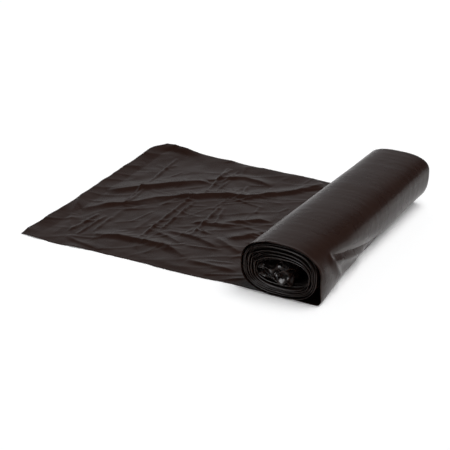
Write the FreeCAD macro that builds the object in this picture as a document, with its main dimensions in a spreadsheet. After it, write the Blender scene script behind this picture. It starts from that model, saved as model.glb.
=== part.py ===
import FreeCAD, Part
import math
import os

from FreeCAD import Vector

# A coreless roll of bin bags: one long web of flattened bags, still joined at their
# perforations, wound into a flattened roll with its loose end drawn out over the floor.
# The whole web is one piece. Seen from the near end (looking along +Y, X to the right),
# it starts crumpled in the hollow, winds outwards clockwise over the top, leaves the roll
# on the right, folds under on the floor and runs flat beneath the roll to the free edge.
#
# Frame: origin on the floor at the middle of the whole footprint, X along the loose end
# (the free edge is at -X), Y along the roll's axis (the near end is at -Y), Z up.

# Driving dimensions in millimetres and degrees: alias, value, what it is.
SIZES = (
    ("roll_length", 300, "width of the folded web, and so the length of the roll"),
    ("web_thickness", 1.8, "one web: turns that lie together, with the air between them"),
    ("turn_gap", 1.4, "gap from one turn of the web to the next at the roll's ends"),
    ("turn_count", 6, "whole turns round the hollow"),
    ("hollow_width", 44, "width of the collapsed hollow inside the first turn"),
    ("hollow_height", 18.5, "height of the collapsed hollow inside the first turn"),
    ("flat_angle", 35, "half the angle that the flatter top and bottom arcs turn"),
    ("crumple_inset", 7, "how much shorter a crumpled pass is than half the hollow"),
    ("crumple_margin", 2, "room between the crumpled start and the first turn"),
    ("crumple_wave", 22, "how far each crumpled pass bends to and fro, in degrees"),
    ("roll_clearance", 0.6, "clearance of the roll from the web beneath it"),
    ("parting_depth", 5, "how deep the turns part at each end of the roll"),
    ("leave_angle", 47, "where the outer turn leaves the roll at the near end"),
    ("near_bulge_radius", 58, "arc of the loosened turn at the near end"),
    ("near_floor_angle", 4, "how far it still faces up as it nears the floor there"),
    ("far_floor_angle", -52, "the same at the far end, where it hugs the roll that far"),
    ("loosened_to", 20, "middle of the roll to where the turn hugs it again"),
    ("near_fold_radius", 2.4, "bend on the floor at the near end"),
    ("far_fold_radius", 8, "bend on the floor at the far end"),
    ("loose_length", 323, "free edge of the web to the middle of the roll"),
    ("ridge_share", 0.55, "length of a fold's ridge as a share of the whole fold"),
    ("ridge_lean", 0.2, "how far the ridge lies off the fold's middle, as a share of its width"),
)

# Main folds of the loose end, as low tents whose steeper side faces the near end: how far
# the fold's middle lies from the free edge and from the middle of the web, its heading in
# degrees from +X, its length, width and height.
FOLDS = (
    (70, 40, 43, 150, 26, 3.4),
    (88, 0, 45, 140, 26, 3.6),
    (150, 53, 27, 120, 28, 3.4),
    (206, 106, 54, 84, 24, 2.4),
    (140, 108, 8, 100, 24, 2.6),
    (214, -4, 30, 84, 22, 2.6),
    (222, -52, 38, 70, 20, 2.4),
    (134, -105, -2, 170, 22, 3.0),
    (122, -35, -86, 150, 16, 2.0),
    (166, -20, -80, 100, 14, 1.6),
    (54, -10, -83, 130, 16, 1.8),
    (54, -112, 84, 60, 14, 1.6),
)
# Passes of the crumpled start through the hollow.
CRUMPLED_PASSES = 2


def make_sheet(doc):
    sheet = doc.addObject("Spreadsheet::Sheet", "Sizes")
    for row, (alias, value, meaning) in enumerate(SIZES, start=1):
        sheet.set(f"A{row}", alias)
        sheet.set(f"B{row}", str(value))
        sheet.set(f"C{row}", meaning)
        sheet.setAlias(f"B{row}", alias)
    doc.recompute()
    return sheet


def unit_vector(degrees):
    angle = math.radians(degrees)
    return Vector(math.cos(angle), math.sin(angle))


class Chain:
    """A line of tangent arcs and straight runs that follows the middle of the web's
    thickness. Its two sides are the same arcs, half a thickness to the left and right."""

    def __init__(self, start, heading):
        self.start = start
        self.start_heading = heading
        self.point = start
        self.heading = heading
        self.steps = []

    def run(self, length):
        end = self.point + unit_vector(self.heading) * length
        self.steps.append(("run", self.point, end, self.heading))
        self.point = end
        return self

    def turn(self, radius, degrees):
        """Positive degrees turn left, negative ones turn right."""
        side = 1 if degrees > 0 else -1
        centre = self.point + unit_vector(self.heading + 90 * side) * radius
        first = self.heading - 90 * side
        self.steps.append(("turn", centre, radius, first, degrees))
        self.heading += degrees
        self.point = centre + unit_vector(first + degrees) * radius
        return self

    def side(self, offset):
        """The line moved to its left by offset, as geometry for a sketch."""
        edges = []
        for kind, *values in self.steps:
            if kind == "run":
                start, end, heading = values
                shift = unit_vector(heading + 90) * offset
                edges.append(Part.LineSegment(start + shift, end + shift))
                continue
            centre, radius, first, degrees = values
            moved = radius - math.copysign(offset, offset * degrees)
            low, high = sorted((first, first + degrees))
            circle = Part.Circle(centre, Vector(0, 0, 1), moved)
            edges.append(
                Part.ArcOfCircle(circle, math.radians(low), math.radians(high))
            )
        return edges

    def cap(self, half):
        """The short end line across the web, from its left side to its right."""
        across = unit_vector(self.heading + 90) * half
        return Part.LineSegment(self.point + across, self.point - across)

    def root(self, half):
        """The same line at the start of the chain, from right to left."""
        across = unit_vector(self.start_heading + 90) * half
        return Part.LineSegment(self.start - across, self.start + across)


class RollForm:
    """Radii and places of the wound roll, worked out from the sheet. A turn is an oval
    of four tangent arcs, and each arc is a quarter pitch wider than the last one."""

    def __init__(self, sheet):
        self.web = sheet.web_thickness
        self.gap = sheet.turn_gap
        self.pitch = self.web + self.gap
        self.turns = int(round(sheet.turn_count))
        self.flat = sheet.flat_angle
        self.round = 90 - self.flat
        half_width = (sheet.hollow_width + self.web) / 2
        self.half_height = (sheet.hollow_height + self.web) / 2
        flat = math.radians(self.flat)
        difference = (half_width - self.half_height) / (
            math.sin(flat) + math.cos(flat) - 1
        )
        self.end_radius = half_width - difference * math.sin(flat)
        self.flat_radius = self.end_radius + difference

    def radius(self, quarter):
        """Radius of the arc that is so many quarter turns outwards from the first one,
        which is the top arc of the first turn."""
        base = self.flat_radius if quarter % 2 == 0 else self.end_radius
        return base + self.pitch * quarter / 4

    def sweep(self, quarter):
        return 2 * (self.flat if quarter % 2 == 0 else self.round)


def outward_chain(form, start, leave_angle):
    """All turns, clockwise from the first joint at the upper left of the hollow, up to
    the place on the right where the outer turn leaves the roll."""
    chain = Chain(start, form.flat)
    last = 4 * form.turns
    for quarter in range(last + 1):
        chain.turn(form.radius(quarter), -form.sweep(quarter))
    return chain.turn(form.radius(last + 1), leave_angle - form.round)


def inward_chain(form, start, sheet):
    """The web's crumpled start, followed backwards from the first joint: down the left
    end, along the bottom, then to and fro through the hollow."""
    chain = Chain(start, form.flat + 180)
    chain.turn(form.radius(-1), form.sweep(-1))
    bottom = form.radius(-2)
    pass_length = sheet.hollow_width / 2 - sheet.crumple_inset
    past_middle = math.degrees(pass_length / 2 / bottom)
    chain.turn(bottom, form.flat + past_middle)
    room = sheet.hollow_height - form.pitch - sheet.crumple_margin - form.web
    fold_radius = room / 2 / CRUMPLED_PASSES
    to_left = 180 - past_middle
    for number in range(CRUMPLED_PASSES):
        side = 1 if number % 2 == 0 else -1
        wave = sheet.crumple_wave * (1 - number / CRUMPLED_PASSES / 2)
        wave_radius = pass_length / 4 / math.sin(math.radians(wave))
        chain.turn(fold_radius, side * to_left)
        chain.turn(wave_radius, -side * wave)
        chain.turn(wave_radius, side * 2 * wave)
        chain.turn(wave_radius, -side * wave)
        to_left = 180
    return chain


def arc_extreme(chain, number, normal):
    """The point of one arc's full circle that lies furthest in a direction."""
    _, centre, radius, _, _ = chain.steps[number]
    return centre + normal * radius


def tail_chain(form, sheet, start, radius, floor_angle, fold_radius, end_x):
    """Middle line of the loosened outer turn: round an arc, straight down to the floor,
    round a bend there and back beneath the roll."""
    chain = Chain(start, sheet.leave_angle - 90)
    chain.turn(radius, floor_angle - sheet.leave_angle)
    bend = math.radians(90 + floor_angle)
    drop = chain.point.y - form.web / 2 - fold_radius * (1 - math.cos(bend))
    chain.run(drop / math.sin(bend)).turn(fold_radius, -90 - floor_angle)
    return chain.run(chain.point.x - end_x)


def near_tail(form, sheet, start, end_x):
    """At the near end the turn hangs free in a wide bulge, with a tight bend below."""
    return tail_chain(
        form,
        sheet,
        start,
        sheet.near_bulge_radius,
        sheet.near_floor_angle,
        sheet.near_fold_radius,
        end_x,
    )


def far_tail(form, sheet, start, end_x):
    """At the far end it still hugs the roll further round, and bends more widely."""
    return tail_chain(
        form,
        sheet,
        start,
        form.radius(4 * form.turns + 1),
        sheet.far_floor_angle,
        sheet.far_fold_radius,
        end_x,
    )


def profile_of(*chains, half):
    """The closed outline of the web: one chain, or two that part from the same place."""
    edges = []
    for chain in chains:
        edges += chain.side(half) + [chain.cap(half)] + chain.side(-half)[::-1]
    if len(chains) == 1:
        edges.append(chains[0].root(half))
    return edges


class Layout:
    """The placed middle lines: the roll rests just above the web on the floor, and
    the footprint from the free edge to the near bend is centred on the origin."""

    def __init__(self, sheet):
        self.form = form = RollForm(sheet)
        half = form.web / 2
        last = 4 * form.turns
        trial = outward_chain(form, Vector(0, 0), sheet.leave_angle)
        bottom = arc_extreme(trial, last - 2, Vector(0, -1)).y - half
        lift = Vector(0, form.web + sheet.roll_clearance - bottom)
        left = arc_extreme(trial, last - 1, Vector(-1, 0)).x - half
        right = arc_extreme(trial, last - 3, Vector(1, 0)).x + half
        trial_middle = (left + right) / 2
        tail = near_tail(form, sheet, trial.point + lift, trial_middle)
        reach = arc_extreme(tail, 2, Vector(1, 0)).x + half - trial_middle
        self.middle_x = (sheet.loose_length - reach) / 2
        start = lift + Vector(self.middle_x - trial_middle, 0)
        self.outward = outward_chain(form, start, sheet.leave_angle)
        self.inward = inward_chain(form, start, sheet)
        self.near = near_tail(form, sheet, self.outward.point, self.middle_x)
        self.far = far_tail(form, sheet, self.outward.point, self.middle_x)
        self.roll_left = self.middle_x - (right - left) / 2
        self.free_x = self.middle_x - sheet.loose_length


def plane_of(body, role):
    return next(f for f in body.Origin.OriginFeatures if f.Role == role)


def section_sketch(body, name, edges, offset=None):
    """A sketch in the X-Z plane, moved along the roll's axis where an offset is given.
    Its normal points to -Y, so a positive offset lies at the near end."""
    sketch = body.newObject("Sketcher::SketchObject", name)
    sketch.AttachmentSupport = [(plane_of(body, "XZ_Plane"), "")]
    sketch.MapMode = "FlatFace"
    if offset:
        sketch.setExpression("AttachmentOffset.Base.z", offset)
    sketch.addGeometry(edges, False)
    return sketch


def symmetric_pad(body, name, sketch):
    pad = body.newObject("PartDesign::Pad", name)
    pad.Profile = sketch
    pad.SideType = "Symmetric"
    pad.setExpression("Length", "Sizes.roll_length")
    sketch.Visibility = False
    return pad


def pressed_outline(layout):
    """The middle line of the last whole turn, closed by a step from its end to its start."""
    last_turn = Chain(layout.outward.start, layout.form.flat)
    last_turn.steps = layout.outward.steps[-5:-1]
    arcs = last_turn.side(0)
    first, last = arcs[0], arcs[-1]
    return arcs + [Part.LineSegment(last.StartPoint, first.EndPoint)]


def make_wound_web(doc, sheet, layout):
    """The turns, which are pressed together inside the roll and part at its two ends, the
    loosened outer turn, and the flat loose end from beneath the roll to the free edge."""
    form = layout.form
    half = form.web / 2
    body = doc.addObject("PartDesign::Body", "wound_web")
    turns = section_sketch(
        body, "turns_section", profile_of(layout.outward, layout.inward, half=half)
    )
    symmetric_pad(body, "turns", turns)
    pressed = section_sketch(body, "pressed_section", pressed_outline(layout))
    pad = symmetric_pad(body, "pressed_turns", pressed)
    pad.setExpression("Length", "Sizes.roll_length - 2 * Sizes.parting_depth")
    near = section_sketch(
        body, "near_tail", profile_of(layout.near, half=half), "Sizes.roll_length / 2"
    )
    far = section_sketch(
        body, "far_tail", profile_of(layout.far, half=half), "-Sizes.loosened_to"
    )
    loft = body.newObject("PartDesign::AdditiveLoft", "loosened_turn")
    loft.Profile = near
    loft.Sections = [far]
    loft.Ruled = True
    hugging = body.newObject("PartDesign::Pad", "hugging_turn")
    hugging.Profile = far
    hugging.Reversed = True
    hugging.setExpression("Length", "Sizes.roll_length / 2 - Sizes.loosened_to")
    floor = Chain(Vector(layout.middle_x, half), 180).run(sheet.loose_length)
    flat = section_sketch(body, "floor_section", profile_of(floor, half=half))
    symmetric_pad(body, "loose_end", flat)
    return body


def make_fold(doc, sheet, layout, row):
    """One fold: a low tent with a sharp ridge, set into the web as far as its middle."""
    along, across, heading, length, width, height = row
    fold = doc.addObject("Part::Wedge", "fold")
    sunk = sheet.web_thickness / 2
    ridge = length * sheet.ridge_share / 2
    lean = width * sheet.ridge_lean
    fold.Xmin, fold.Xmax = -length / 2, length / 2
    fold.Zmin, fold.Zmax = -width / 2, width / 2
    fold.Ymin, fold.Ymax = 0, sunk + height
    fold.X2min, fold.X2max = -ridge, ridge
    fold.Z2min, fold.Z2max = lean, lean
    upright = FreeCAD.Rotation(Vector(1, 0, 0), 90)
    turned = FreeCAD.Rotation(Vector(0, 0, 1), heading)
    place = Vector(layout.free_x + along, across, sunk)
    fold.Placement = FreeCAD.Placement(place, turned * upright)
    return fold


def check_document(doc):
    doc.recompute()
    for thing in doc.Objects:
        if {"Invalid", "Error"} & set(thing.State):
            raise RuntimeError(f"{thing.Name} failed: {thing.State}")


def write_part(feature):
    shape = feature.Shape
    if shape.isNull() or not shape.isValid():
        raise RuntimeError(f"{feature.Label} has no valid shape")
    if len(shape.Solids) != 1:
        raise RuntimeError(f"{feature.Label} is {len(shape.Solids)} solids, not one")
    os.makedirs("parts", exist_ok=True)
    shape.exportStep(f"parts/{feature.Label}.step")
    box = shape.BoundBox
    print(feature.Label, f"{shape.Volume / 1000:.1f} cm3,", len(shape.Faces), "faces,", box)


def main():
    doc = FreeCAD.newDocument("bag_roll")
    sheet = make_sheet(doc)
    layout = Layout(sheet)
    wound = make_wound_web(doc, sheet, layout)
    folds = [make_fold(doc, sheet, layout, row) for row in FOLDS]
    check_document(doc)
    whole = doc.addObject("Part::MultiFuse", "whole_web")
    whole.Shapes = [wound] + folds
    whole.Refine = True
    whole.Label = "bag_roll"
    check_document(doc)
    write_part(whole)


main()
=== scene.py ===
"""A coreless roll of bin bags with its loose end drawn out over the floor.

The roll is one long web of flattened bags. Looking along +Y from the near end, it starts
crumpled in the hollow, winds outwards clockwise, and its outer turn leaves the roll on the
right, folds under on the floor and runs out flat to the left.
"""

import math

import bmesh
import bpy
import numpy as np
from bpy.props import FloatProperty, FloatVectorProperty, IntProperty, PointerProperty
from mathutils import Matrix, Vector, noise


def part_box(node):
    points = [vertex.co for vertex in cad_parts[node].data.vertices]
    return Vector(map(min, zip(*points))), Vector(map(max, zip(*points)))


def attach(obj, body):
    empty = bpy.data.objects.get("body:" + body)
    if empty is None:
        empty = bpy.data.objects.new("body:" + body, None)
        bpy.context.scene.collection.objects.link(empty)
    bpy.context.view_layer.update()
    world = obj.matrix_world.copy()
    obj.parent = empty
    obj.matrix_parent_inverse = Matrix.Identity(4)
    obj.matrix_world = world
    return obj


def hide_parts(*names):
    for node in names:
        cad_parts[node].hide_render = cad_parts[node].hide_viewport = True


bl_info = {
    "name": "Bin bag roll",
    "version": (1, 0, 0),
    "blender": (4, 5, 0),
    "location": "View3D > Sidebar > Bag roll",
    "description": "Makes a roll of bin bags with its loose end drawn out",
    "category": "Object",
}

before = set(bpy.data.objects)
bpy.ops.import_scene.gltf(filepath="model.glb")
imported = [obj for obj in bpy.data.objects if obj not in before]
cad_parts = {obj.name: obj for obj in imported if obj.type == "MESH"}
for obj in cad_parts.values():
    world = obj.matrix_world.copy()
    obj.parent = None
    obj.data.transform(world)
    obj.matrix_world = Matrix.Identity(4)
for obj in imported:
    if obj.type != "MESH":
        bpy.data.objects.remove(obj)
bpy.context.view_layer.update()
LOW, HIGH = (Vector(corner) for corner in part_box("bag_roll"))

MM = 0.001

# Where the roll lies, from the frame: its near and far ends, and its top.
NEAR_END, FAR_END = LOW.y, HIGH.y
ROLL_TOP = HIGH.z


def linear(colour):
    """An sRGB hex colour as the linear numbers that a shader takes."""
    parts = [int(colour[i : i + 2], 16) / 255 for i in (1, 3, 5)]
    return tuple(c / 12.92 if c <= 0.04045 else ((c + 0.055) / 1.055) ** 2.4 for c in parts)


# Sizes and colours that a user would change


class BagRollSizes(bpy.types.PropertyGroup):
    """Sizes of the roll and its film."""

    loose_length: FloatProperty(
        name="Loose length",
        description="From the free edge to the middle of the roll's far end",
        default=0.3261,
        unit="LENGTH",
    )
    half_width: FloatProperty(
        name="Half width",
        description="Half the width of the flattened roll at its far end",
        default=0.0385,
        unit="LENGTH",
    )
    near_swell: FloatProperty(
        name="Near swell",
        description="How much wider half the roll is at its near end",
        default=0.0062,
        unit="LENGTH",
    )
    skew: FloatProperty(
        name="Skew",
        description="How far the roll's near end lies to the right of its far end",
        default=0.0036,
        unit="LENGTH",
    )
    near_widest: FloatProperty(
        name="Near widest height",
        description="Height of the widest place of the near end",
        default=0.031,
        unit="LENGTH",
    )
    far_widest: FloatProperty(
        name="Far widest height",
        description="Height of the widest place of the far end",
        default=0.0415,
        unit="LENGTH",
    )
    floor_gap: FloatProperty(
        name="Floor gap",
        description="Height of the roll's underside over the floor, with the web below it",
        default=0.001,
        unit="LENGTH",
    )
    far_sag: FloatProperty(
        name="Far sag",
        description="How much lower the roll is at its far end",
        default=0.001,
        unit="LENGTH",
    )
    near_boxiness: FloatProperty(
        name="Near boxiness",
        description="Exponent of the near end's oval: 2 is an ellipse, more is boxier",
        default=2.5,
    )
    far_boxiness: FloatProperty(
        name="Far boxiness",
        description="Exponent of the far end's oval",
        default=2.6,
    )
    film: FloatProperty(
        name="Film thickness",
        description="One folded web: the plies of a flattened bag",
        default=0.00032,
        unit="LENGTH",
    )
    turns: IntProperty(name="Turns", description="Turns of the web in the roll", default=19)
    pitch: FloatProperty(
        name="Pitch",
        description="From one turn to the next",
        default=0.00092,
        unit="LENGTH",
    )
    first_inset: FloatProperty(
        name="First inset",
        description="From the loosened outer turn to the wound turns",
        default=0.0009,
        unit="LENGTH",
    )
    hollow_width: FloatProperty(
        name="Hollow width",
        description="Width of the collapsed hollow",
        default=0.050,
        unit="LENGTH",
    )
    hollow_height: FloatProperty(
        name="Hollow height",
        description="Height of the collapsed hollow",
        default=0.030,
        unit="LENGTH",
    )
    loosening: FloatProperty(
        name="Loosening",
        description="How far the looseness reaches from the near end",
        default=0.087,
        unit="LENGTH",
    )
    near_leave: FloatProperty(
        name="Near leave angle",
        description="Where the outer turn leaves the roll at the near end",
        default=math.radians(60),
        subtype="ANGLE",
    )
    far_leave: FloatProperty(
        name="Far leave angle",
        description="Where the outer turn leaves the roll at the far end",
        default=math.radians(-62),
        subtype="ANGLE",
    )
    near_fold: FloatProperty(
        name="Near fold",
        description="Bend of the outer turn on the floor at the near end",
        default=0.006,
        unit="LENGTH",
    )
    far_fold: FloatProperty(
        name="Far fold",
        description="Bend of the outer turn on the floor at the far end",
        default=0.008,
        unit="LENGTH",
    )
    near_floor: FloatProperty(
        name="Near floor fold place",
        description="X of the fold on the floor at the near end",
        default=0.1810,
        unit="LENGTH",
    )
    far_floor: FloatProperty(
        name="Far floor fold place",
        description="X of the fold on the floor at the far end",
        default=0.142,
        unit="LENGTH",
    )


class BagRollLooks(bpy.types.PropertyGroup):
    """Colours of the film and the floor."""

    film: FloatVectorProperty(
        name="Film",
        description="Pigmented film, without its gloss",
        subtype="COLOR",
        size=3,
        min=0,
        max=1,
        default=linear("#20130f"),
    )
    film_pale: FloatVectorProperty(
        name="Stretched film",
        description="Where the film is stretched thin or lies double",
        subtype="COLOR",
        size=3,
        min=0,
        max=1,
        default=linear("#281812"),
    )
    floor: FloatVectorProperty(
        name="Floor",
        description="Plain pale floor",
        subtype="COLOR",
        size=3,
        min=0,
        max=1,
        default=linear("#f4f4f4"),
    )


def sizes():
    """The roll's sizes, as the sidebar shows them."""
    return bpy.context.scene.bag_roll_sizes


def looks():
    """The colours, as the sidebar shows them."""
    return bpy.context.scene.bag_roll_looks


# Shapes and patterns that several pieces use


def stack(x, y, z):
    """Points from their three coordinates."""
    return np.stack(np.broadcast_arrays(x, y, z), axis=-1)


def smooth_step(low, high, value):
    """0 before low and 1 past high, with a soft rise between. low may be the larger."""
    share = np.clip((value - low) / (high - low), 0, 1)
    return share * share * (3 - 2 * share)


def bell(value, middle, width):
    """1 at the middle, which falls to 0.37 a width away from it and then to nothing."""
    return np.exp(-(((value - middle) / width) ** 2))


# How far one step of a seed moves the noise, so that no two patterns look alike.
SEED_STEP = (7.31, 3.17, 5.93)


def waves(a, b, size, seed):
    """Smooth seeded noise over two lengths, from about -1 to 1, with features of size."""
    shift = Vector([seed * step for step in SEED_STEP])
    points = np.broadcast_arrays(a, b)
    return np.array(
        [
            noise.noise(Vector((p, q, 0)) / size + shift)
            for p, q in zip(points[0].ravel(), points[1].ravel())
        ]
    ).reshape(points[0].shape)


def crinkles(x, y, heading, length, width, seed):
    """Sharp creases of about a length and width, along a heading in degrees, 0 to 1."""
    sharpness = 2.4
    turn = math.radians(heading)
    along = x * math.cos(turn) + y * math.sin(turn)
    across = y * math.cos(turn) - x * math.sin(turn)
    off_crest = np.abs(waves(along * width / length, across, width, seed))
    return 1 - np.minimum(off_crest * sharpness, 1)


def ridge(x, y, line, near_width, far_width):
    """Height from 0 to 1 of a crease along a line. It falls to its foot on both sides,
    and away to nothing at both ends."""
    sharpness, end_share = 1.6, 0.22
    best = np.zeros_like(x)
    lengths = [math.dist(a, b) for a, b in zip(line, line[1:])]
    whole, passed = sum(lengths), 0.0
    for (ax, ay), (bx, by), length in zip(line, line[1:], lengths):
        dx, dy = (bx - ax) / length, (by - ay) / length
        along = np.clip((x - ax) * dx + (y - ay) * dy, 0, length)
        off_x, off_y = x - ax - along * dx, y - ay - along * dy
        side = dx * off_y - dy * off_x
        width = np.where(side < 0, near_width, far_width)
        slope = np.clip(1 - np.hypot(off_x, off_y) / width, 0, 1) ** sharpness
        share = (passed + along) / whole
        taper = np.clip(share / end_share, 0, 1) * np.clip((1 - share) / end_share, 0, 1)
        best = np.maximum(best, slope * np.sqrt(taper))
        passed += length
    return best


# The roll's section


# How far into the roll the turns still take after its outside.
SKIN = 0.02


def share_along(y):
    """0 at the roll's near end, 1 at its far one."""
    return (np.asarray(y) - NEAR_END) / (FAR_END - NEAR_END)


def roll_point(angle, y, inset=0.0):
    """A point of the roll's section, whose outward normal points at angle, from +X
    towards +Z. The section is a boxy oval, wider above than below. The soft roll is
    rounder, wider and further right at its near end. Further in, the widest place lies
    nearer the middle of the height."""
    s = sizes()
    near_share = 1 - share_along(y)
    boxiness = s.far_boxiness + (s.near_boxiness - s.far_boxiness) * near_share
    widest = s.far_widest + (s.near_widest - s.far_widest) * near_share
    widest = widest + (ROLL_TOP / 2 - widest) * np.clip(inset / SKIN, 0, 1)
    top = ROLL_TOP - s.film * 2 - s.far_sag * (1 - near_share)
    across, up = np.cos(angle), np.sin(angle)
    half_width = s.half_width + s.near_swell * near_share - inset
    half_height = np.where(up > 0, top - widest, widest - s.floor_gap) - inset
    half_height = np.maximum(half_height, 0.001)
    power = 1 / (boxiness - 1)
    wide = (half_width * np.abs(across)) ** power * half_width
    high = (half_height * np.abs(up)) ** power * half_height
    size = (wide / half_width) ** boxiness + (high / half_height) ** boxiness
    size = size ** (1 / boxiness)
    middle_x = LOW.x + s.loose_length + s.skew * near_share
    x = middle_x + np.sign(across) * wide / size
    return x, widest + np.sign(up) * high / size


def crowded(v):
    """The share across the web as a way from -1 at the near end to 1 at the far one, and
    as a place along the roll. Rows of points crowd at both ends, where they show."""
    crowd = np.sin(math.pi * (v * 2 - 1) / 2)
    return crowd, (NEAR_END + FAR_END) / 2 + (FAR_END - NEAR_END) / 2 * crowd


# Meshes


def new_piece(name, bm, material):
    """A piece of the film, which rides on the roll's body in place of its solid."""
    mesh = bpy.data.meshes.new(name)
    bm.to_mesh(mesh)
    bm.free()
    mesh.materials.append(material)
    mesh.shade_smooth()
    piece = bpy.data.objects.new(name, mesh)
    bpy.context.scene.collection.objects.link(piece)
    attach(piece, "root")
    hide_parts("bag_roll")
    return piece


def film_grid(columns, rows, place):
    """A sheet of film: a grid whose first side runs along the web and whose second runs
    across it, from the near end to the far one. place turns both shares, from 0 to 1,
    into points. The UV map holds the metres along the web and across it."""
    bm = bmesh.new()
    web = bm.loops.layers.uv.new("web")
    bmesh.ops.create_grid(bm, x_segments=columns, y_segments=rows, size=0.5)
    shares = np.round(np.array([v.co[:2] for v in bm.verts]) + 0.5, 6)
    points = place(shares[:, 0], shares[:, 1])
    order = np.lexsort((shares[:, 0], shares[:, 1]))
    lines = points[order].reshape(rows + 1, columns + 1, 3)
    steps = np.linalg.norm(np.diff(lines, axis=1), axis=2)
    along = np.zeros(len(points))
    along[order] = np.pad(np.cumsum(steps, axis=1), ((0, 0), (1, 0))).ravel()
    for vertex, point in zip(bm.verts, points):
        vertex.co = point
    bm.verts.index_update()
    for face in bm.faces:
        for loop in face.loops:
            index = loop.vert.index
            loop[web].uv = (along[index], points[index][1])
    return bm


def give_thickness(piece, thickness):
    """A closed skin round the sheet, half the thickness to each side of it."""
    solidify = piece.modifiers.new("plies", "SOLIDIFY")
    solidify.thickness = thickness
    solidify.offset = 0
    solidify.use_rim = True


# The loosened outer turn


# Where the wound turns end and the outer turn starts, under the roll, in degrees.
ROLL_START = 262


def looseness(y):
    """1 at the near end, where the outer turn is loosest, and less further in."""
    return np.exp(-(y - NEAR_END) / sizes().loosening)


def leave_angle(y):
    """Where the outer turn leaves the roll: high on its right side at the near end, and
    low on it at the far end."""
    s = sizes()
    return s.far_leave + (s.near_leave - s.far_leave) * looseness(y)


def outer_turn_section(u, y):
    """The outer turn from under the roll's left side, over its top, down to the fold on
    the floor and back under the roll, where u is the share of its way."""
    s = sizes()
    share = share_along(y)
    loose = looseness(y)
    leave = leave_angle(y)
    start = math.radians(ROLL_START)
    wrap_end, drop_end, fold_end = 0.52, 0.78, 0.86

    wrap = np.clip(u / wrap_end, 0, 1)
    wrap_x, wrap_z = roll_point(start + (leave - start) * wrap, y)

    fold_radius = s.near_fold + (s.far_fold - s.near_fold) * share
    fold_middle = s.near_floor - (s.near_floor - s.far_floor) * share
    fold_middle = fold_middle + 0.0014 * bell(share, 0.14, 0.12)
    # The way down is one curve, straight off the roll and straight into the fold.
    arrive = math.radians(4) - math.radians(74) * (1 - loose)
    from_x, from_z = roll_point(leave, y)
    to_x = fold_middle + fold_radius * np.cos(arrive)
    to_z = fold_radius + fold_radius * np.sin(arrive)
    reach = np.hypot(to_x - from_x, to_z - from_z)
    first, last = (0.36 + 0.22 * loose) * reach, (0.36 + 0.26 * loose) * reach
    one_x, one_z = from_x + first * np.sin(leave), from_z - first * np.cos(leave)
    two_x, two_z = to_x - last * np.sin(arrive), to_z + last * np.cos(arrive)
    t = np.clip((u - wrap_end) / (drop_end - wrap_end), 0, 1)
    a, b, c, d = (1 - t) ** 3, 3 * t * (1 - t) ** 2, 3 * t * t * (1 - t), t**3
    drop_x = a * from_x + b * one_x + c * two_x + d * to_x
    drop_z = a * from_z + b * one_z + c * two_z + d * to_z

    t = np.clip((u - drop_end) / (fold_end - drop_end), 0, 1)
    bend = arrive + (-math.pi / 2 - arrive) * t
    fold_x = fold_middle + fold_radius * np.cos(bend)
    fold_z = fold_radius + fold_radius * np.sin(bend)

    t = np.clip((u - fold_end) / (1 - fold_end), 0, 1)
    run_end = LOW.x + s.loose_length - 0.006
    run_x = fold_middle + (run_end - fold_middle) * t

    parts = [u < wrap_end, u < drop_end, u < fold_end]
    x = np.select(parts, [wrap_x, drop_x, fold_x], run_x)
    z = np.select(parts, [wrap_z, drop_z, fold_z], 0.0)
    return x, z


# Where the slack film folds away from the roll to the floor, on the right side: the
# points of the main fold and of a curved one by the near end, as (along, height) in
# millimetres.
MAIN_TENT = ((-114, 44), (-82, 35.9), (-50, 27.8), (-18, 19.9), (24, 8))
NEAR_TENT = ((-95, 12), (-106, 24), (-114, 35), (-117, 46))


def right_side(x):
    """1 on the roll's right side and 0 elsewhere."""
    return smooth_step(0.15, 0.165, x)


def tent_folds(x, y, z):
    """How far the folds that slack makes on the roll's right side stand out: a groove
    with a bulge below it, and a rounded fold by the near end."""
    a, b = y / MM, z / MM
    groove = ridge(a, b, MAIN_TENT, near_width=4, far_width=10)
    below = ridge(a, b + 7, MAIN_TENT[:-1], near_width=15, far_width=7)
    near = ridge(a, b, NEAR_TENT, near_width=10, far_width=14)
    below, near = smooth_step(0, 1, below), smooth_step(0, 1, near)
    return right_side(x) * MM * (-2.4 * groove + 3.4 * below + 1.8 * near)


# The patterns on the outer turn are laid out over this length of it.
OUTER_TURN_LENGTH = 0.3

# Shares of the outer turn's way: those over which the near rim starts to flare and
# stops again, and the middle and width of the nick in it on the roll's right shoulder.
RIM_START, RIM_END = (0.38, 0.44), (0.7, 0.55)
NICK, NICK_WIDTH = 0.424, 0.005


def outer_turn_relief(u, v, x, y, z):
    """How far the outer turn stands out of its plain section: faint pulls all over,
    waves where it hangs free, the folds that slack makes, a bulge low down past the
    middle, and a rim that flares at the near end, with a nick in it."""
    way = u * OUTER_TURN_LENGTH
    relief = 0.00008 * crinkles(way, y, heading=8, length=0.11, width=0.012, seed=3)
    relief += 0.00004 * crinkles(way, y, heading=-9, length=0.07, width=0.007, seed=5)
    relief += 0.0004 * waves(way, y, size=0.06, seed=8)
    free = smooth_step(0.5, 0.6, u)
    relief += free * 0.0016 * waves(way * 0.6, y, size=0.035, seed=11)
    relief += tent_folds(x, y, z)
    low_bulge = bell(v, 0.6, 0.2) * bell(z, 0.010, 0.010)
    relief += 0.0014 * low_bulge * right_side(x)
    rim = smooth_step(*RIM_START, u) * smooth_step(*RIM_END, u)
    relief += 0.0005 * rim * smooth_step(0.016, 0.0, v)
    nick = bell(u, NICK, NICK_WIDTH) * smooth_step(0.02, 0.0, v)
    relief += 0.0012 * nick
    # Beneath the roll the film lies flat.
    return relief * smooth_step(1.0, 0.86, u)


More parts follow.
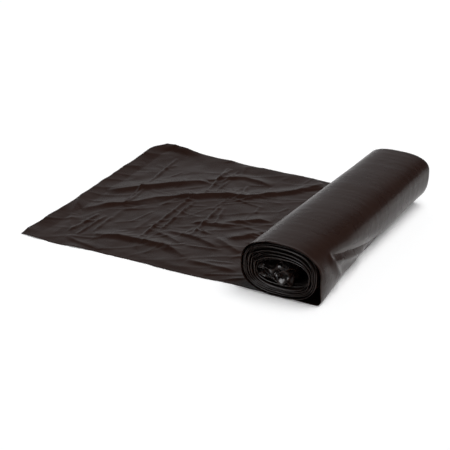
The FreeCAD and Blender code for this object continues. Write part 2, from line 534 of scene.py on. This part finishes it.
def outer_turn_points(u, v):
    """The outer turn's section all along the roll, with its relief and a near edge that
    isn't quite even."""
    s = sizes()
    y = NEAR_END + (FAR_END - NEAR_END) * v
    x, z = outer_turn_section(u, y)
    # The way out of the section, from the points a little ahead and behind.
    step = 0.002
    ahead_x, ahead_z = outer_turn_section(np.minimum(u + step, 1), y)
    behind_x, behind_z = outer_turn_section(np.maximum(u - step, 0), y)
    run_x, run_z = ahead_x - behind_x, ahead_z - behind_z
    size = np.hypot(run_x, run_z) + 1e-9
    out_x, out_z = -run_z / size, run_x / size
    relief = outer_turn_relief(u, v, x, y, z)
    x = x + out_x * relief
    z = np.maximum(z + out_z * relief, 0) + s.film / 2
    edge = 0.0009 * waves(u * OUTER_TURN_LENGTH, v, size=0.03, seed=17)
    edge += 0.0034 * smooth_step(0.6, 0.8, u)
    y = y + edge * smooth_step(0.1, 0.0, v)
    return stack(x, y, z)


class BAGROLL_OT_outer_turn(bpy.types.Operator):
    """Add the loosened outer turn, with its fold on the floor"""

    bl_idname = "bagroll.outer_turn"
    bl_label = "Outer turn"

    def execute(self, context):
        bm = film_grid(columns=230, rows=150, place=outer_turn_points)
        piece = new_piece("outer_turn", bm, blown_film())
        give_thickness(piece, sizes().film)
        return {"FINISHED"}


# The wound turns


# Turns from the outside in that end evenly: those inside them are tucked in deeper.
EVEN_TURNS = 15

# Turns from one that stands proud at the ends to the next.
GROUP = 2.6

# Points of the mesh on each turn.
POINTS_A_TURN = 72

# The size of the ring that a turn takes through the noise.
NOISE_RING = 0.02


def wound_points(u, v):
    """The spiral web, from the hollow outwards. Its edges don't lie quite even: near both
    ends groups of turns part, sway and tuck in, and the innermost turns lie deepest."""
    s = sizes()
    turns = s.turns * (1 - u)
    angle = math.radians(ROLL_START) + 2 * math.pi * turns
    crowd, y = crowded(v)
    ends = np.abs(crowd) ** 12
    sunk = 1 + 0.3 * np.sin(angle) - 0.12 * np.cos(angle)
    depth = s.first_inset * smooth_step(0, 0.3, turns) + s.pitch * turns * sunk
    group = waves(turns * 0.01, np.cos(angle) * 0.002, size=0.012, seed=21)
    round_x, round_z = np.cos(angle) * NOISE_RING, np.sin(angle) * NOISE_RING
    sway = waves(round_x + turns * 0.004, round_z, size=0.016, seed=23)
    jitter = waves(round_x + turns * 0.013, round_z, size=0.009, seed=27)
    loose = np.minimum(turns / EVEN_TURNS, 1)
    depth = depth + ends * (0.0010 * group + 0.0036 * sway * loose + 0.0005 * jitter)
    x, z = roll_point(angle, y, depth)
    drift = 3 * waves(turns * 0.01, 0 * turns, size=0.03, seed=25)
    proud = np.cos(2 * math.pi * turns / GROUP + drift)
    tuck = 0.0004 + 0.0045 * smooth_step(0.75, 0.1, proud) + 0.002 * loose**2
    innermost = smooth_step(EVEN_TURNS - 0.5, EVEN_TURNS + 0.5, turns)
    tuck = tuck + innermost * (0.002 + 0.0016 * (turns - EVEN_TURNS))
    y = y - np.sign(crowd) * ends * tuck
    return stack(x, y, z)


class BAGROLL_OT_wound_turns(bpy.types.Operator):
    """Add the turns of the web in the roll"""

    bl_idname = "bagroll.wound_turns"
    bl_label = "Wound turns"

    def execute(self, context):
        s = sizes()
        bm = film_grid(columns=s.turns * POINTS_A_TURN, rows=14, place=wound_points)
        piece = new_piece("wound_turns", bm, folded_edges())
        give_thickness(piece, s.film)
        return {"FINISHED"}


# The crumpled start in the hollow


# The crumpled web's bends, from large to small: the size, the height and the seed of each.
CRUMPLES = ((0.014, 0.0042, 32), (0.008, 0.0032, 34), (0.0035, 0.0006, 36))

# How far the crumpled web reaches to each side, and how high it stacks, as shares of the
# hollow's width and height.
CRUMPLED_REACH, CRUMPLED_STACK = 0.36, 0.5

# Where it lies: how far left of the roll's middle, and at which share of its height.
CRUMPLED_LEFT, CRUMPLED_HEIGHT = 0.0065, 0.43

# The patterns on it are laid out over this length of it.
CRUMPLED_LENGTH = 0.22


def crumpled_points(u, v):
    """The web's start, folded to and fro in the hollow and crumpled. It ends a little
    further in than the turns, sags at both ends, and leaves some of the hollow free."""
    s = sizes()
    crowd, y = crowded(v)
    end = np.sign(crowd)
    passes = 5
    to_and_fro = np.sin(math.pi * passes * (u - 0.5) + math.pi / 2)
    wave = to_and_fro * (1 + 0.25 * to_and_fro**2) / 1.25
    x = wave * s.hollow_width * CRUMPLED_REACH
    z = (u - 0.5) * s.hollow_height * CRUMPLED_STACK
    way = u * CRUMPLED_LENGTH
    sag = 0.003 + 0.008 * waves(way, 0.1 * end, size=0.02, seed=39)
    z = z - np.abs(crowd) ** 12 * sag
    depth = 0.002 + 0.005 * (0.5 + waves(way, 0.1 * end, size=0.02, seed=31))
    y = y - end * depth * np.abs(crowd) ** 6
    for size, height, seed in CRUMPLES:
        x = x + height * waves(way, y, size, seed)
        length = size * 1.6
        folded = crinkles(way, y, heading=30, length=length, width=size, seed=seed + 1)
        z = z + height * (folded - 0.5)
    middle_x = roll_point(math.pi / 2, y)[0]
    return stack(x + middle_x - CRUMPLED_LEFT, y, z + ROLL_TOP * CRUMPLED_HEIGHT)


class BAGROLL_OT_crumpled_start(bpy.types.Operator):
    """Add the crumpled start of the web in the hollow"""

    bl_idname = "bagroll.crumpled_start"
    bl_label = "Crumpled start"

    def execute(self, context):
        bm = film_grid(columns=200, rows=160, place=crumpled_points)
        piece = new_piece("crumpled_start", bm, crumpled_film())
        give_thickness(piece, sizes().film)
        return {"FINISHED"}


# The loose end

# Creases that the loose end keeps from its folding: the points of each ridge in
# millimetres from the middle of the footprint, its height, and the widths of its near
# and far slopes.
CREASES = (
    ([(-169, -5), (-139, 25), (-114, 50), (-89, 72), (-79, 80)], 3.0, 13, 26),
    ([(-79, 80), (-67, 100), (-47, 112), (-27, 110), (-7, 105)], 1.8, 8, 14),
    ([(-164, -65), (-144, -37), (-119, -15), (-107, 5), (-87, 20), (-72, 37)], 2.6, 12, 24),
    ([(-87, 20), (-52, 47), (-32, 57), (-17, 60), (-2, 77), (10, 87)], 3.6, 12, 22),
    ([(-2, 77), (10, 87), (23, 100), (35, 120), (44, 140)], 2.6, 9, 20),
    ([(-2, -15), (15, -2), (30, 10), (45, 12)], 2.0, 8, 18),
    ([(-32, -32), (-12, -25), (13, -17)], 1.6, 7, 16),
    ([(23, -52), (38, -37), (48, -22)], 1.6, 8, 16),
    ([(-112, -117), (-89, -107), (-62, -104), (-27, -102), (-7, -110), (5, -117)], 2.6, 10, 20),
    ([(-57, -75), (-39, -80), (-17, -89)], 1.5, 7, 14),
    ([(-47, -67), (-12, -66), (8, -72), (28, -79)], 1.6, 7, 14),
    ([(13, -57), (38, -70), (53, -77)], 1.5, 7, 14),
    ([(-137, -135), (-117, -141), (-84, -146)], 1.2, 6, 12),
    ([(-187, -25), (-169, -75), (-152, -105), (-132, -127)], 1.4, 8, 12),
    ([(13, -122), (73, -120)], 1.6, 8, 16),
)

# Fine creases across the folds, without a steep side: the ends of each and its height.
CROSS_CREASES = (
    ([(-73, 35), (-63, -102)], 2.0),
    ([(-62, 20), (-54, -70)], 1.8),
    ([(-29, 25), (-17, -65)], 1.7),
    ([(-22, 20), (-9, -25)], 1.3),
    ([(-142, 40), (-129, -30)], 1.7),
    ([(-134, 20), (-127, -20)], 1.5),
    ([(-139, -65), (-142, -122)], 1.5),
    ([(-129, -65), (-129, -127)], 1.5),
    ([(-122, -65), (-117, -110)], 1.2),
    ([(-79, 127), (-62, 42)], 1.8),
    ([(-74, 127), (-72, 85)], 1.4),
    ([(-149, 122), (-139, 40)], 1.5),
    ([(-59, 97), (-57, 65)], 1.2),
    ([(-32, 92), (-24, 62)], 1.2),
)

# Where the film was crumpled: the middle of each place, how far its creases spread, and
# how many there are.
CRUMPLED_PLACES = (
    ((-130, -60), 34, 16),
    ((-20, 50), 36, 18),
    ((-35, -95), 36, 12),
    ((25, -30), 34, 12),
    ((-110, 90), 36, 8),
    ((-30, -10), 90, 40),
    ((-60, -40), 70, 20),
)

# The headings in degrees that those creases keep to.
CRUMPLED_HEADINGS = [35, 60, -80, 5]

# Height of the smooth film over the floor, in millimetres, in the open and beneath the
# roll.
OPEN_HEIGHT, COVERED_HEIGHT = 1.1, 0.4


def scattered_creases(x, y):
    """Straight creases of crumpled film, which cross each other at all heights."""
    dice = np.random.default_rng(11)
    height = np.zeros_like(x)
    for middle, spread, count in CRUMPLED_PLACES:
        for _ in range(count):
            at = dice.normal(middle, spread)
            turn = math.radians(dice.choice(CRUMPLED_HEADINGS) + dice.normal(0, 13))
            reach = dice.uniform(8, 26)
            run = (reach * math.cos(turn), reach * math.sin(turn))
            line = ((at[0] - run[0], at[1] - run[1]), (at[0] + run[0], at[1] + run[1]))
            widths = dice.uniform(2.2, 7, 2)
            height += dice.uniform(0.25, 0.8) * ridge(x, y, line, *widths)
    return height


def loose_end_sides(x):
    """The near and the far edge, neither quite straight."""
    near = NEAR_END - 0.001 + 0.0014 * waves(x, 0 * x, size=0.035, seed=43)
    near += 0.0007 * waves(x, 0 * x, size=0.009, seed=47)
    near -= 0.004 * bell(x, -0.15, 0.045)
    near += 0.0044 * smooth_step(0.035, 0.085, x)
    narrow = bell(x, -0.03, 0.085)
    far = FAR_END - 0.001 - 0.003 * narrow + 0.001 * waves(x, 0 * x, size=0.03, seed=45)
    return near, far


def loose_end_outline(v):
    """X of the free edge: askew, drawn in a little before the middle and well back at
    the far corner."""
    free_edge = LOW.x + 0.0015 - 0.007 * (v - 0.5)
    free_edge += 0.0012 * waves(v, 0 * v, size=0.07, seed=41)
    free_edge += 0.012 * smooth_step(0.9, 1.01, v) ** 2
    free_edge += 0.0034 * bell(v, 0.32, 0.2)
    free_edge -= 0.0015 * smooth_step(0.15, 0.0, v)
    return free_edge


def loose_end_height(x, y, free_edge, near, far):
    """Height of the loose end over the floor in millimetres: its creases, its lifted far
    corner, its turned up free and far edges, and its near edge, which lies low."""
    a, b = x / MM, y / MM
    height = np.full_like(x, OPEN_HEIGHT)
    for line, rise, near_width, far_width in CREASES:
        height += rise * ridge(a, b, line, near_width, far_width)
    for line, rise in CROSS_CREASES:
        height += rise * ridge(a, b, line, near_width=3.0, far_width=4.0)
    height += scattered_creases(a, b) * smooth_step(0.006, 0.03, x - free_edge)
    unevenness = 0.7 * waves(x, y, size=0.06, seed=51)
    unevenness += 0.5 * waves(x, y, size=0.018, seed=55)
    height += unevenness
    height += 0.4 * crinkles(x, y, heading=40, length=0.08, width=0.024, seed=53) ** 3

    from_corner = np.hypot(x - free_edge - 0.012, (y - far) * 0.7)
    height += 2.4 * smooth_step(0.045, 0.0, from_corner)
    by_free_edge = np.clip(1 - (x - free_edge) / 0.018, 0, 1)
    by_free_edge = by_free_edge * (0.2 + 0.8 * smooth_step(0.0, 0.06, y - near))
    height += (3.2 + 0.8 * smooth_step(0.03, 0.1, y)) * by_free_edge
    lip = smooth_step(-0.18, -0.165, x) * smooth_step(-0.125, -0.155, x)
    height += 3.0 * lip * smooth_step(0.016, 0.0, far - y)
    height += 1.8 * smooth_step(0.03, 0.0, far - y) * smooth_step(-0.165, -0.13, x)

    height *= 0.3 + 0.7 * smooth_step(0.0, 0.014, y - near)
    lift = np.clip(waves(x, 0 * x, size=0.03, seed=63), 0, 1)
    lift = lift * smooth_step(0.09, 0.06, x)
    height += 1.6 * lift * smooth_step(0.012, 0.0, y - near)
    under_roll = smooth_step(0.09, 0.11, x)
    return height * (1 - under_roll) + COVERED_HEIGHT * under_roll


def loose_end_points(u, v):
    """The loose end from beneath the roll to its free edge. Few columns of points lie
    beneath the roll, where none show."""
    s = sizes()
    roll_x = LOW.x + s.loose_length
    start, clear, covered = roll_x + 0.012, roll_x - 0.045, 0.09
    free_edge = loose_end_outline(v)
    x = np.where(
        u < covered,
        start + (clear - start) * u / covered,
        clear + (free_edge - clear) * (u - covered) / (1 - covered),
    )
    near, far = loose_end_sides(x)
    y = near + (far - near) * v
    height = loose_end_height(x, y, free_edge, near, far)
    return stack(x, y, np.maximum(height * MM, 0.0001) + s.film / 2)


class BAGROLL_OT_loose_end(bpy.types.Operator):
    """Add the loose end, laid out over the floor"""

    bl_idname = "bagroll.loose_end"
    bl_label = "Loose end"

    def execute(self, context):
        bm = film_grid(columns=222, rows=214, place=loose_end_points)
        piece = new_piece("loose_end", bm, blown_film())
        give_thickness(piece, sizes().film)
        return {"FINISHED"}


# Materials


def add_node(tree, kind, settings=None, **inputs):
    """A node with its settings, and with its sockets set or linked. A socket's name has
    an underscore for each space."""
    node = tree.nodes.new(kind)
    for name, value in (settings or {}).items():
        setattr(node, name, value)
    for name, value in inputs.items():
        socket = node.inputs[name.replace("_", " ")]
        if isinstance(value, bpy.types.NodeSocket):
            tree.links.new(value, socket)
        else:
            socket.default_value = value
    return node


def film_material(name, roughness, crinkle_depth, shine):
    """Polyethylene film with carbon black and a little brown in it, blown through a ring
    die and folded flat. It reflects weakly and softly when seen from above and strongly
    at a glancing angle, over a nearly black body. Fine lines from the die run along the
    web, and handling has crinkled it."""
    if name in bpy.data.materials:
        return bpy.data.materials[name]
    material = bpy.data.materials.new(name)
    material.use_nodes = True
    tree = material.node_tree
    shader = tree.nodes["Principled BSDF"]
    web = add_node(tree, "ShaderNodeUVMap", {"uv_map": "web"}).outputs["UV"]
    place = add_node(tree, "ShaderNodeTexCoord").outputs["Object"]

    # Die lines, 40 mm long and 1.6 mm apart, so 25 and 620 a metre. The real ones are
    # finer, too fine to show.
    drawn = add_node(tree, "ShaderNodeMapping", Vector=web, Scale=(25, 620, 1))
    drawn = drawn.outputs["Vector"]
    die_lines = add_node(tree, "ShaderNodeTexNoise", Vector=drawn, Scale=1.0)
    # Crinkles about 9 mm apart, sharp like creased film.
    crinkle = add_node(
        tree,
        "ShaderNodeTexNoise",
        {"noise_type": "RIDGED_MULTIFRACTAL"},
        Vector=place,
        Scale=1 / (9 * MM),
        Detail=3.0,
    )
    fine = add_node(
        tree,
        "ShaderNodeBump",
        Strength=0.35,
        Distance=0.00011,
        Height=die_lines.outputs["Fac"],
    )
    folded = add_node(
        tree,
        "ShaderNodeBump",
        Strength=0.4,
        Distance=crinkle_depth,
        Height=crinkle.outputs["Fac"],
        Normal=fine.outputs["Normal"],
    )
    # Patches 30 mm across, where the film is stretched thinner and paler.
    patches = add_node(
        tree,
        "ShaderNodeTexNoise",
        Vector=place,
        Scale=1 / (30 * MM),
        Detail=2.0,
    )
    body = add_node(tree, "ShaderNodeValToRGB", Fac=patches.outputs["Fac"])
    body.color_ramp.elements[0].color = (*looks().film, 1)
    body.color_ramp.elements[1].color = (*looks().film_pale, 1)
    # They also differ a little in gloss.
    gloss = add_node(
        tree,
        "ShaderNodeMapRange",
        Value=patches.outputs["Fac"],
        To_Min=roughness - 0.05,
        To_Max=roughness + 0.07,
    )
    tree.links.new(body.outputs["Color"], shader.inputs["Base Color"])
    tree.links.new(gloss.outputs["Result"], shader.inputs["Roughness"])
    tree.links.new(folded.outputs["Normal"], shader.inputs["Normal"])
    shader.inputs["IOR"].default_value = 1.5
    shader.inputs["Specular IOR Level"].default_value = shine
    # The pigment warms the gloss a little.
    shader.inputs["Specular Tint"].default_value = (*linear("#fff9f3"), 1)
    return material


def blown_film():
    """Smooth film on the outside, whose soft gloss is weak from above."""
    return film_material(
        "blown_polyethylene_film", roughness=0.27, crinkle_depth=0.0004, shine=0.1
    )


def folded_edges():
    """The turns' folded edges at the roll's ends, where the light catches rounder film."""
    return film_material(
        "folded_polyethylene_edges", roughness=0.3, crinkle_depth=0.0003, shine=0.4
    )


def crumpled_film():
    """Crumpled film in the hollow, whose many small facets glint."""
    return film_material(
        "crumpled_polyethylene_film", roughness=0.3, crinkle_depth=0.0004, shine=0.8
    )


def studio_paper():
    """Matt white paper. It looks white to the camera and in the film's gloss without more
    light on the roll, and keeps the roll's shadow."""
    material = bpy.data.materials.new("matt_studio_paper")
    material.use_nodes = True
    tree = material.node_tree
    shader = tree.nodes["Principled BSDF"]
    shader.inputs["Base Color"].default_value = (*looks().floor, 1)
    shader.inputs["Roughness"].default_value = 0.9
    shader.inputs["Specular IOR Level"].default_value = 0.0
    path = add_node(tree, "ShaderNodeLightPath")
    seen = path.outputs["Is Camera Ray"]
    for ray in ("Is Glossy Ray", "Is Transmission Ray"):
        either = add_node(tree, "ShaderNodeMath", {"operation": "MAXIMUM"})
        tree.links.new(seen, either.inputs[0])
        tree.links.new(path.outputs[ray], either.inputs[1])
        seen = either.outputs["Value"]
    lift = add_node(tree, "ShaderNodeMapRange", Value=seen, To_Max=0.18)
    shader.inputs["Emission Color"].default_value = (*linear("#ffffff"), 1)
    tree.links.new(lift.outputs["Result"], shader.inputs["Emission Strength"])
    return material


# The stage


class BAGROLL_OT_stage(bpy.types.Operator):
    """Add the floor, the soft light and the camera"""

    bl_idname = "bagroll.stage"
    bl_label = "Stage"

    def execute(self, context):
        self.add_floor(context.scene)
        self.add_world(context.scene)
        self.add_ceiling_light(context.scene)
        self.add_front_light(context.scene)
        self.add_camera(context.scene)
        return {"FINISHED"}

    def add_floor(self, scene):
        """Plain pale paper that reaches far past the picture."""
        bm = bmesh.new()
        bmesh.ops.create_grid(bm, x_segments=1, y_segments=1, size=6.0)
        mesh = bpy.data.meshes.new("floor")
        bm.to_mesh(mesh)
        bm.free()
        mesh.materials.append(studio_paper())
        floor = bpy.data.objects.new("floor", mesh)
        scene.collection.objects.link(floor)

    def add_world(self, scene):
        """A dim studio with a pale wall all round, brightest behind the object."""
        world = bpy.data.worlds.new("white_studio")
        world.use_nodes = True
        tree = world.node_tree
        background = tree.nodes["Background"]
        ray = add_node(tree, "ShaderNodeTexCoord").outputs["Generated"]
        part = add_node(tree, "ShaderNodeSeparateXYZ", Vector=ray)
        horizon = add_node(
            tree,
            "ShaderNodeMapRange",
            {"interpolation_type": "SMOOTHSTEP"},
            Value=part.outputs["Z"],
            From_Min=0.3,
            From_Max=0.0,
            To_Min=0.13,
            To_Max=0.3,
        )
        # The brightest wall faces the camera, from behind the roll.
        towards = add_node(tree, "ShaderNodeVectorMath", {"operation": "DOT_PRODUCT"})
        tree.links.new(ray, towards.inputs[0])
        towards.inputs[1].default_value = (-0.5, 0.866, 0)
        wall = add_node(
            tree,
            "ShaderNodeMapRange",
            {"interpolation_type": "SMOOTHSTEP"},
            Value=towards.outputs["Value"],
            From_Min=0.72,
            From_Max=0.78,
            To_Max=0.42,
        )
        both = add_node(tree, "ShaderNodeMath", {"operation": "ADD"})
        tree.links.new(horizon.outputs["Result"], both.inputs[0])
        tree.links.new(wall.outputs["Result"], both.inputs[1])
        tree.links.new(both.outputs["Value"], background.inputs["Strength"])
        background.inputs["Color"].default_value = (0.95, 0.97, 1, 1)
        scene.world = world

    def add_ceiling_light(self, scene):
        """Very soft light from above, a little from the right and behind. The film doesn't
        mirror it."""
        light = bpy.data.lights.new("ceiling", "SUN")
        light.energy = 2.6
        light.angle = math.radians(45)
        lamp = bpy.data.objects.new("ceiling", light)
        lamp.rotation_euler = Vector((0.3, 0.12, 1)).to_track_quat("Z", "Y").to_euler()
        lamp.visible_glossy = False
        scene.collection.objects.link(lamp)

    def add_front_light(self, scene):
        """A soft lamp beside the camera that only shows in gloss: it makes the crumpled
        film glint."""
        light = bpy.data.lights.new("front", "AREA")
        light.shape = "DISK"
        light.size = 1.4
        light.energy = 24
        light.color = (0.85, 0.92, 1)
        lamp = bpy.data.objects.new("front", light)
        lamp.visible_diffuse = False
        lamp.location = (-0.1, -1.3, 1.1)
        from_roll = lamp.location - Vector((0.13, 0, 0))
        lamp.rotation_euler = from_roll.to_track_quat("Z", "Y").to_euler()
        scene.collection.objects.link(lamp)

    def add_camera(self, scene):
        """The photo's view, fitted to its outline: from about 2 m away, 24 degrees up and
        30 degrees round from the near end."""
        data = bpy.data.cameras.new("camera")
        data.lens = 140.1
        data.sensor_width = 36
        camera = bpy.data.objects.new("camera", data)
        camera.location = (LOW.x + 1.0986, -1.58507, 0.81024)
        camera.rotation_euler = (math.radians(90 - 24.09), 0, math.radians(30.115))
        scene.collection.objects.link(camera)
        scene.camera = camera


# The add-on


class BAGROLL_PT_panel(bpy.types.Panel):
    """Buttons and sizes for the bag roll"""

    bl_idname = "BAGROLL_PT_panel"
    bl_label = "Bag roll"
    bl_space_type = "VIEW_3D"
    bl_region_type = "UI"
    bl_category = "Bag roll"

    def draw(self, context):
        for step in STEPS:
            self.layout.operator(step.bl_idname)
        for group in (sizes(), looks()):
            for name in group.__annotations__:
                self.layout.prop(group, name)


STEPS = (
    BAGROLL_OT_stage,
    BAGROLL_OT_loose_end,
    BAGROLL_OT_outer_turn,
    BAGROLL_OT_wound_turns,
    BAGROLL_OT_crumpled_start,
)
CLASSES = (BagRollSizes, BagRollLooks, *STEPS, BAGROLL_PT_panel)


def register():
    for one in CLASSES:
        bpy.utils.register_class(one)
    bpy.types.Scene.bag_roll_sizes = PointerProperty(type=BagRollSizes)
    bpy.types.Scene.bag_roll_looks = PointerProperty(type=BagRollLooks)


def unregister():
    del bpy.types.Scene.bag_roll_looks
    del bpy.types.Scene.bag_roll_sizes
    for one in reversed(CLASSES):
        bpy.utils.unregister_class(one)


def main():
    register()
    bpy.context.scene.view_settings.view_transform = "Standard"
    bpy.ops.bagroll.stage()
    bpy.ops.bagroll.loose_end()
    bpy.ops.bagroll.wound_turns()
    bpy.ops.bagroll.crumpled_start()
    bpy.ops.bagroll.outer_turn()


if __name__ == "__main__":
    main()
